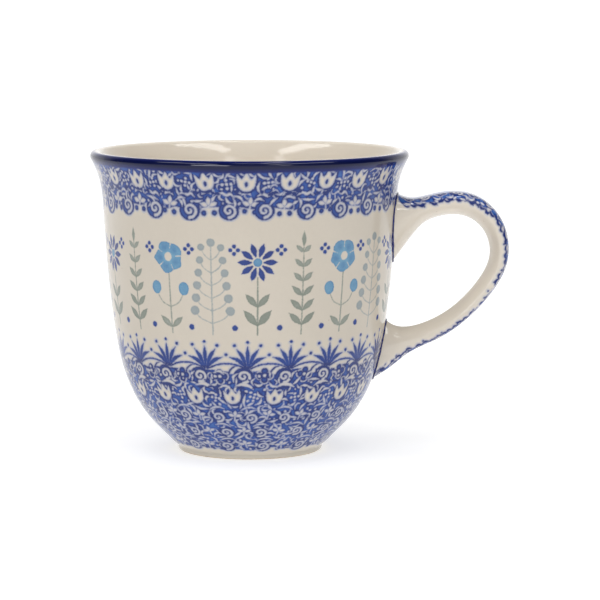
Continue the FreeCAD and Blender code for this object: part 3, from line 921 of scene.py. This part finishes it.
# even rows along the outer line
want = np.arange(0, spine_s[-1], 0.26)
pick = np.interp(want, spine_s, np.arange(len(spine_s)))
i0 = np.clip(pick.astype(int), 0, len(st) - 2)
f = (pick - i0)[:, None, None]
hv = hv[i0] * (1 - f) + hv[i0 + 1] * f
across = across[i0] * (1 - f[:, :, 0]) + across[i0 + 1] * f[:, :, 0]
half_b = np.interp(want, spine_s, st[:, 4])
half_a = np.interp(want, spine_s, st[:, 3])
nrow = len(want)
ii = np.arange(nrow - 1)[:, None] * RING
jj = np.arange(RING)[None, :]
kk = (jj + 1) % RING
quads = np.stack([ii + jj, ii + RING + jj, ii + RING + kk, ii + kk], -1).reshape(-1, 4)
co = hv.reshape(-1, 3)
c0, c1 = len(co), len(co) + 1
co = np.vstack([co, hv[0].mean(0), hv[-1].mean(0)])
j1 = jj[0]
k1 = kk[0]
base = (nrow - 1) * RING
quads = np.vstack([quads, np.stack([np.full(RING, c0), j1, k1, k1], -1),
                   np.stack([base + j1, np.full(RING, c1), base + k1, base + k1], -1)])
handle = make_mesh("handle_loop", co, quads)

# decoration on the spine: the same stamps, in two rows on a ragged band
band = Glaze(np.linspace(-14, 14, 141), want, np.ones(nrow), None)
hr = random.Random(77)
spine_band(band, hr, want, half_b)
col = (across + 14.0) / 0.2
ci = np.clip(col.astype(int), 0, 139)
cf = np.clip(col - ci, 0, 1)
rows_ = np.arange(nrow)[:, None]
for lay, arr in (("cobalt_d", band.d["cobalt"]), ("cobalt_t", band.t["cobalt"])):
    v = arr[rows_, ci] * (1 - cf) + arr[rows_, ci + 1] * cf
    if lay.endswith("_d"):
        v = np.minimum(v, 2.0)
    point_data(handle, lay, np.concatenate([v.ravel(), [2.0 if lay.endswith("_d") else 0.0] * 2]))

# ---------------------------------------------------------------------------------------
# Slip beads where the handle meets the wall
# ---------------------------------------------------------------------------------------

def joint_line(rows):
    """Where each lengthwise line of the handle meets the wall. rows run from inside outward."""
    pts = []
    for j in range(RING):
        line = hv[rows, j, :]
        d = np.hypot(line[:, 0], line[:, 1]) - r_out(line[:, 2])
        i = int(np.argmax(d > 0))
        f_ = -d[i - 1] / (d[i] - d[i - 1]) if i > 0 else 0.0
        pts.append(line[i - 1] + f_ * (line[i] - line[i - 1]) if i > 0 else line[0])
    return np.array(pts)


def bead(name, loop, radius, seed):
    """A slightly uneven rope of slip laid along a closed loop on the wall."""
    rg = random.Random(seed)
    n = 300
    L = along(np.vstack([loop, loop[:1]]))
    g = np.linspace(0, L[-1], n + 1)[:-1]
    P = np.stack([np.interp(g, L, np.append(loop[:, k], loop[0, k])) for k in range(3)], 1)
    for _ in range(6):
        P = 0.25 * np.roll(P, 1, 0) + 0.5 * P + 0.25 * np.roll(P, -1, 0)
    wob = [(k, rg.uniform(0, 6.28), rg.uniform(0.4, 1)) for k in (2, 3, 5, 9, 14, 23)]
    a = 2 * math.pi * np.arange(n) / n
    size = radius * (1 + 0.16 * sum(c * np.sin(k * a + p) for k, p, c in wob) / 2)
    T = np.roll(P, -1, 0) - np.roll(P, 1, 0)
    T /= np.linalg.norm(T, axis=1)[:, None]
    out = np.stack([P[:, 0], P[:, 1], 0 * P[:, 0]], 1)
    out /= np.linalg.norm(out, axis=1)[:, None]
    out -= (out * T).sum(1)[:, None] * T
    out /= np.linalg.norm(out, axis=1)[:, None]
    side = np.cross(T, out)
    P = P + out * (0.10 * size)[:, None]
    m = 14
    b = 2 * math.pi * np.arange(m) / m
    co = (P[:, None, :] + size[:, None, None] * (np.cos(b)[None, :, None] * out[:, None, :]
                                                 + np.sin(b)[None, :, None] * side[:, None, :]))
    i, j = np.arange(n)[:, None], np.arange(m)[None, :]
    q = np.stack([i * m + j, ((i + 1) % n) * m + j, ((i + 1) % n) * m + (j + 1) % m, i * m + (j + 1) % m], -1)
    ob = make_mesh(name, co.reshape(-1, 3), q.reshape(-1, 4))
    return ob


upper_bead = bead("upper_slip_bead", joint_line(np.arange(0, nrow // 3)), 0.40, 3)
lower_bead = bead("lower_slip_bead", joint_line(np.arange(nrow - 1, 2 * nrow // 3, -1)), 0.36, 4)

# ---------------------------------------------------------------------------------------
# Materials
# ---------------------------------------------------------------------------------------

def lin(rgb):
    out = []
    for c in rgb:
        c = c / 255.0
        out.append(c / 12.92 if c <= 0.04045 else ((c + 0.055) / 1.055) ** 2.4)
    return tuple(out) + (1.0,)


class Net:
    """A little help for wiring shader nodes."""

    def __init__(self, name):
        self.mat = bpy.data.materials.new(name)
        self.mat.use_nodes = True
        self.nt = self.mat.node_tree
        self.nt.nodes.clear()
        self.out = self.nt.nodes.new("ShaderNodeOutputMaterial")
        self.bsdf = self.nt.nodes.new("ShaderNodeBsdfPrincipled")
        self.nt.links.new(self.bsdf.outputs["BSDF"], self.out.inputs["Surface"])
        tc = self.nt.nodes.new("ShaderNodeTexCoord")
        sc = self.nt.nodes.new("ShaderNodeVectorMath")
        sc.operation = "SCALE"
        sc.inputs["Scale"].default_value = 1000.0
        self.nt.links.new(tc.outputs["Object"], sc.inputs[0])
        self.mm = sc.outputs["Vector"]

    def link(self, a, b):
        if hasattr(a, "links"):
            self.nt.links.new(a, b)
        else:
            b.default_value = a

    def math(self, op, a, b=None, c=None, clamp=False):
        n = self.nt.nodes.new("ShaderNodeMath")
        n.operation = op
        n.use_clamp = clamp
        for i, v in enumerate((a, b, c)):
            if v is not None:
                self.link(v, n.inputs[i])
        return n.outputs[0]

    def noise(self, scale, detail=2.0, rough=0.5, vec=None):
        n = self.nt.nodes.new("ShaderNodeTexNoise")
        n.inputs["Scale"].default_value = scale
        n.inputs["Detail"].default_value = detail
        n.inputs["Roughness"].default_value = rough
        self.nt.links.new(vec if vec is not None else self.mm, n.inputs["Vector"])
        return n.outputs["Fac"]

    def attr(self, name):
        n = self.nt.nodes.new("ShaderNodeAttribute")
        n.attribute_type = "GEOMETRY"
        n.attribute_name = name
        return n.outputs["Fac"]

    def ramp(self, fac, stops, interp="LINEAR"):
        n = self.nt.nodes.new("ShaderNodeValToRGB")
        n.color_ramp.interpolation = interp
        el = n.color_ramp.elements
        while len(el) > 1:
            el.remove(el[-1])
        el[0].position, el[0].color = stops[0][0], lin(stops[0][1])
        for p, c in stops[1:]:
            e = el.new(p)
            e.color = lin(c)
        self.link(fac, n.inputs["Fac"])
        return n.outputs["Color"]

    def mix(self, fac, a, b):
        n = self.nt.nodes.new("ShaderNodeMix")
        n.data_type = "RGBA"
        self.link(fac, n.inputs["Factor"])
        self.link(a, n.inputs["A"])
        self.link(b, n.inputs["B"])
        return n.outputs["Result"] if n.data_type != "RGBA" else n.outputs[2]

    def bump(self, height, strength, distance):
        n = self.nt.nodes.new("ShaderNodeBump")
        n.inputs["Strength"].default_value = strength
        n.inputs["Distance"].default_value = distance
        self.link(height, n.inputs["Height"])
        self.nt.links.new(n.outputs["Normal"], self.bsdf.inputs["Normal"])


def rgba_mix(net, fac, a, b):
    n = net.nt.nodes.new("ShaderNodeMix")
    n.data_type = "RGBA"
    net.link(fac, n.inputs[0])
    net.link(a, n.inputs[6])
    net.link(b, n.inputs[7])
    return n.outputs[2]


INKS = {
    "mist": ((0.0, (186, 190, 186)), (0.35, (164, 172, 172)), (0.65, (146, 157, 161)), (1.0, (120, 136, 146))),
    "leaf": ((0.0, (184, 185, 177)), (0.35, (160, 165, 159)), (0.6, (130, 139, 129)), (0.85, (106, 117, 108)),
             (1.0, (96, 108, 102))),
    "sky": ((0.0, (172, 192, 199)), (0.5, (128, 173, 196)), (0.78, (100, 154, 188)), (1.0, (72, 128, 174))),
    "cobalt": ((0.0, (146, 170, 204)), (0.35, (78, 122, 182)), (0.55, (48, 97, 170)), (0.75, (30, 74, 154)),
               (0.95, (17, 53, 131)), (1.0, (12, 40, 112))),
    "navy": ((0.0, (44, 64, 132)), (0.35, (16, 30, 104)), (0.75, (14, 22, 76)), (1.0, (13, 19, 61))),
}


def cream(net, specks=True, tones=None):
    """The bare glaze: a warm off-white, faintly clouded, with a few iron specks."""
    cloud = net.noise(0.035, 3.0, 0.55)
    fine = net.noise(0.9, 2.0, 0.6)
    f = net.math("ADD", net.math("MULTIPLY", cloud, 0.75), net.math("MULTIPLY", fine, 0.25))
    tones = tones or (CREAM_DARK, CREAM_LIGHT)
    base = net.ramp(f, ((0.3, tones[0]), (0.7, tones[1])))
    if specks:
        vor = net.nt.nodes.new("ShaderNodeTexVoronoi")
        vor.feature = "F1"
        vor.inputs["Scale"].default_value = 0.16
        net.nt.links.new(net.mm, vor.inputs["Vector"])
        spot = net.math("LESS_THAN", vor.outputs["Distance"], 0.035)
        base = rgba_mix(net, net.math("MULTIPLY", spot, 0.30), base, lin((150, 128, 100)))
    return base


CREAM_DARK = (208, 199, 185)
CREAM_LIGHT = (215, 206, 192)


def glaze_finish(net, rough=0.085, bump=0.10):
    b = net.bsdf
    b.inputs["Roughness"].default_value = rough
    b.inputs["IOR"].default_value = 1.5
    b.inputs["Specular IOR Level"].default_value = 0.37
    h = net.math("ADD", net.noise(0.16, 2.0, 0.5), net.math("MULTIPLY", net.noise(1.6, 1.0, 0.5), 0.10))
    net.bump(h, bump, 0.0006)


def inked(name, layers, tones=None, blur=0.30, bleed=(0.5, 0.12), rough=0.085):
    net = Net(name)
    base = cream(net, True, tones)
    wob = net.math("ADD", net.math("MULTIPLY", net.math("SUBTRACT", net.noise(1.5, 1.0, 0.5), 0.5), 0.34),
                   net.math("MULTIPLY", net.math("SUBTRACT", net.noise(5.0, 1.0, 0.5), 0.5), 0.16))
    mottle = net.math("ADD", net.math("MULTIPLY", net.math("SUBTRACT", net.noise(0.42, 2.0, 0.6), 0.5), 0.55),
                      net.math("MULTIPLY", net.math("SUBTRACT", net.noise(2.6, 2.0, 0.6), 0.5), 0.45))
    soft = {"mist": 0.34, "leaf": 0.30, "sky": 0.26, "cobalt": blur, "navy": 0.6}
    amount = {"mist": 0.9, "leaf": 0.92, "sky": 0.95, "cobalt": 0.97, "navy": 1.0}
    for lay in layers:
        d = net.attr(lay + "_d")
        if lay == "cobalt":
            # the ink runs a little into the glaze round every mark
            run = net.math("SUBTRACT", 1.0, net.math("DIVIDE", net.math("ADD", d, wob), bleed[0]), clamp=True)
            base = rgba_mix(net, net.math("MULTIPLY", run, bleed[1]), base, lin((80, 124, 200)))
        cov = net.math("SUBTRACT", 0.5, net.math("DIVIDE", net.math("ADD", d, wob), soft[lay]), clamp=True)
        if lay == "navy":
            # thin and smoky at its edge, pooled and nearly black further in
            depth = net.math("MULTIPLY_ADD", d, -0.48, 0.18, clamp=True)
            dens = net.math("ADD", depth, net.math("MULTIPLY", mottle, 0.25), clamp=True)
        else:
            gain = 0.42 if lay == "cobalt" else 0.5
            dens = net.math("ADD", net.attr(lay + "_t"), net.math("MULTIPLY", mottle, gain), clamp=True)
        ink = net.ramp(dens, INKS[lay])
        base = rgba_mix(net, net.math("MULTIPLY", cov, amount[lay]), base, ink)
    net.link(base, net.bsdf.inputs["Base Color"])
    glaze_finish(net, rough)
    return net.mat


mat_rim = inked("glaze_rim_border", ("cobalt", "navy"), None, 0.42, (0.72, 0.46))
mat_frieze = inked("glaze_frieze", ("mist", "leaf", "sky", "cobalt"))
mat_upper = inked("glaze_border_upper", ("mist", "leaf", "sky", "cobalt"), None, 0.38, (0.68, 0.38))
mat_lower = inked("glaze_lower_border", ("cobalt",), None, 0.42, (0.74, 0.50))
# the inside's cream is lighter than the outer glaze's: painted light, standing in for more light on the inside of the
# same glaze
mat_inside = inked("glaze_inside_painted_light", ("navy",), ((236, 226, 211), (241, 232, 218)), rough=0.06)
# the handle's cream is lighter than the body's, though it is the same glaze: painted light on the handle
mat_handle = inked("glaze_handle_painted_light", ("cobalt",), ((223, 214, 200), (230, 221, 207)), 0.42, (0.68, 0.36), 0.055)

net = Net("foot_glaze_and_bare_clay")
f = net.noise(0.6, 4.0, 0.6)
clay = net.ramp(f, ((0.3, (176, 158, 134)), (0.5, (194, 178, 154)), (0.7, (206, 192, 170))))
bare = net.math("SUBTRACT", 0.5, net.math("DIVIDE", net.math(
    "ADD", net.attr("bare_d"), net.math("MULTIPLY", net.math("SUBTRACT", net.noise(1.2, 2.0, 0.5), 0.5), 0.2)), 0.12), clamp=True)
net.link(rgba_mix(net, bare, cream(net, True, ((214, 206, 192), (220, 212, 199))), clay), net.bsdf.inputs["Base Color"])
net.link(net.math("MULTIPLY_ADD", bare, 0.50, 0.10), net.bsdf.inputs["Roughness"])
net.bump(net.math("MULTIPLY", net.noise(3.5, 3.0, 0.6), bare), 0.25, 0.0002)
mat_foot = net.mat

net = Net("carried_over_glaze")
net.link(cream(net), net.bsdf.inputs["Base Color"])
glaze_finish(net)
mat_plain = net.mat

net = Net("navy_slip")
f = net.noise(0.8, 2.0, 0.5)
net.link(net.ramp(f, ((0.3, (26, 30, 84)), (0.7, (40, 48, 116)))), net.bsdf.inputs["Base Color"])
glaze_finish(net, 0.12, 0.1)
mat_slip = net.mat

for ob, m in zip(skins, (mat_lower, mat_upper, mat_frieze, mat_frieze, mat_rim)):
    ob.data.materials.append(m)
inside.data.materials.append(mat_inside)
foot.data.materials.append(mat_foot)
handle.data.materials.append(mat_handle)
upper_bead.data.materials.append(mat_slip)
lower_bead.data.materials.append(mat_slip)

for node, m in (("cup_body", mat_plain), ("handle", mat_plain), ("upper_slip_joint", mat_slip),
                ("lower_slip_joint", mat_slip)):
    o = bpy.data.objects.get(node)
    if o is not None and o.type == "MESH":
        o.data.materials.clear()
        o.data.materials.append(m)

for ob in skins + [inside, foot]:
    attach(ob, "root")
    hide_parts("cup_body")
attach(handle, "root")
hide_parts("handle")
for ob in (handle, upper_bead, lower_bead):
    ob.data.flip_normals()
for ob, node in ((upper_bead, "upper_slip_joint"), (lower_bead, "lower_slip_joint")):
    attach(ob, "root")
    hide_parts(node)

# ---------------------------------------------------------------------------------------
# Studio: pale floor, white room, two soft boxes and a fill; camera
# ---------------------------------------------------------------------------------------
SUN = 2.6
me = bpy.data.meshes.new("studio_floor")
me.from_pydata([(-14, -6, 0), (14, -6, 0), (14, 24, 0), (-14, 24, 0)], [], [(0, 1, 2, 3)])
floor = bpy.data.objects.new("studio_floor", me)
bpy.context.scene.collection.objects.link(floor)
net = Net("pale_floor")
net.bsdf.inputs["Base Color"].default_value = lin((188, 188, 188))
net.bsdf.inputs["Emission Color"].default_value = (1.0, 1.0, 1.0, 1.0)
net.bsdf.inputs["Emission Strength"].default_value = 0.64
net.bsdf.inputs["Roughness"].default_value = 0.75
net.bsdf.inputs["Specular IOR Level"].default_value = 0.2
me.materials.append(net.mat)

world = bpy.data.worlds.new("studio")
world.use_nodes = True
wn = world.node_tree
bg = wn.nodes["Background"]
tc = wn.nodes.new("ShaderNodeTexCoord")
sep = wn.nodes.new("ShaderNodeSeparateXYZ")
wn.links.new(tc.outputs["Generated"], sep.inputs[0])


def world_ramp(fac, stops):
    r = wn.nodes.new("ShaderNodeValToRGB")
    r.color_ramp.interpolation = "EASE"
    el = r.color_ramp.elements
    while len(el) > 1:
        el.remove(el[-1])
    el[0].position, el[0].color = stops[0][0], (stops[0][1],) * 3 + (1.0,)
    for p, v in stops[1:]:
        el.new(p).color = (v, v, v, 1.0)
    wn.links.new(fac, r.inputs["Fac"])
    return r.outputs["Color"]


half = wn.nodes.new("ShaderNodeMath")
half.operation = "MULTIPLY_ADD"
half.inputs[1].default_value = 0.5
half.inputs[2].default_value = 0.5
wn.links.new(sep.outputs["Y"], half.inputs[0])
around = world_ramp(half.outputs[0], ((0.0, 0.66), (0.22, 0.20), (0.5, 0.0), (0.68, 0.06), (0.87, 0.95), (1.0, 1.1)))
above = world_ramp(sep.outputs["Z"], ((0.12, 1.0), (0.60, 0.34)))
mul = wn.nodes.new("ShaderNodeMix")
mul.data_type = "RGBA"
mul.blend_type = "MULTIPLY"
mul.inputs[0].default_value = 1.0
wn.links.new(around, mul.inputs[6])
wn.links.new(above, mul.inputs[7])
wn.links.new(mul.outputs[2], bg.inputs["Color"])
bg.inputs["Strength"].default_value = 1.0
bpy.context.scene.world = world


def softbox(name, az, el, dist, size, radiance, diffuse=True):
    """A rectangular soft box at an azimuth (0 in front, positive to the right) and elevation."""
    a, e = math.radians(az), math.radians(el)
    loc = Vector((dist * math.sin(a) * math.cos(e), -dist * math.cos(a) * math.cos(e), 0.06 + dist * math.sin(e)))
    L = bpy.data.lights.new(name, "AREA")
    L.shape = "RECTANGLE"
    L.size, L.size_y = size
    L.energy = radiance * math.pi * size[0] * size[1]
    o = bpy.data.objects.new(name, L)
    o.location = loc
    o.rotation_mode = "QUATERNION"
    o.rotation_quaternion = (Vector((0, 0, 0.06)) - loc).to_track_quat("-Z", "Y")
    o.visible_diffuse = diffuse
    bpy.context.scene.collection.objects.link(o)
    return o


softbox("box_left", -58, 50.5, 1.1, (0.76, 0.12), 7.0, False)
softbox("box_right", 53, 53, 1.1, (0.76, 0.12), 7.0, False)
softbox("strip_left", -28, 36, 1.3, (0.17, 0.26), 4.2)
softbox("strip_right", 20, 36, 1.3, (0.17, 0.26), 4.2)
softbox("low_left", -27, 17, 1.3, (0.60, 0.34), 8.0, False)
softbox("low_right", 27, 23, 1.3, (0.15, 0.13), 8.0, False)
softbox("high_front", 3, 67, 1.2, (0.34, 0.10), 8.5, False)
softbox("high_back", 70, 80, 1.2, (0.34, 0.10), 12.0, False)

sky = bpy.data.lights.new("ceiling", "SUN")
sky.energy = SUN
sky.angle = math.radians(75)
sky_ob = bpy.data.objects.new("ceiling", sky)
sky_ob.rotation_mode = "QUATERNION"
sky_ob.rotation_quaternion = (-Vector((-0.06, -0.16, 1.0))).to_track_quat("-Z", "Y")
sky_ob.visible_glossy = False
bpy.context.scene.collection.objects.link(sky_ob)

cam = bpy.data.cameras.new("camera")
cam.sensor_width = 36.0
cam.lens = 175.36
cam.clip_start, cam.clip_end = 0.05, 60.0
cam_ob = bpy.data.objects.new("camera", cam)
cam_ob.location = (0.01518, -0.880, 0.15168)
cam_ob.rotation_euler = (math.radians(83.110), 0.0, 0.0)
bpy.context.scene.collection.objects.link(cam_ob)
bpy.context.scene.camera = cam_ob

bpy.context.scene.view_settings.view_transform = "Standard"
bpy.context.scene.view_settings.look = "None"
bpy.context.scene.view_settings.exposure = 0.0
bpy.context.scene.view_settings.gamma = 1.0
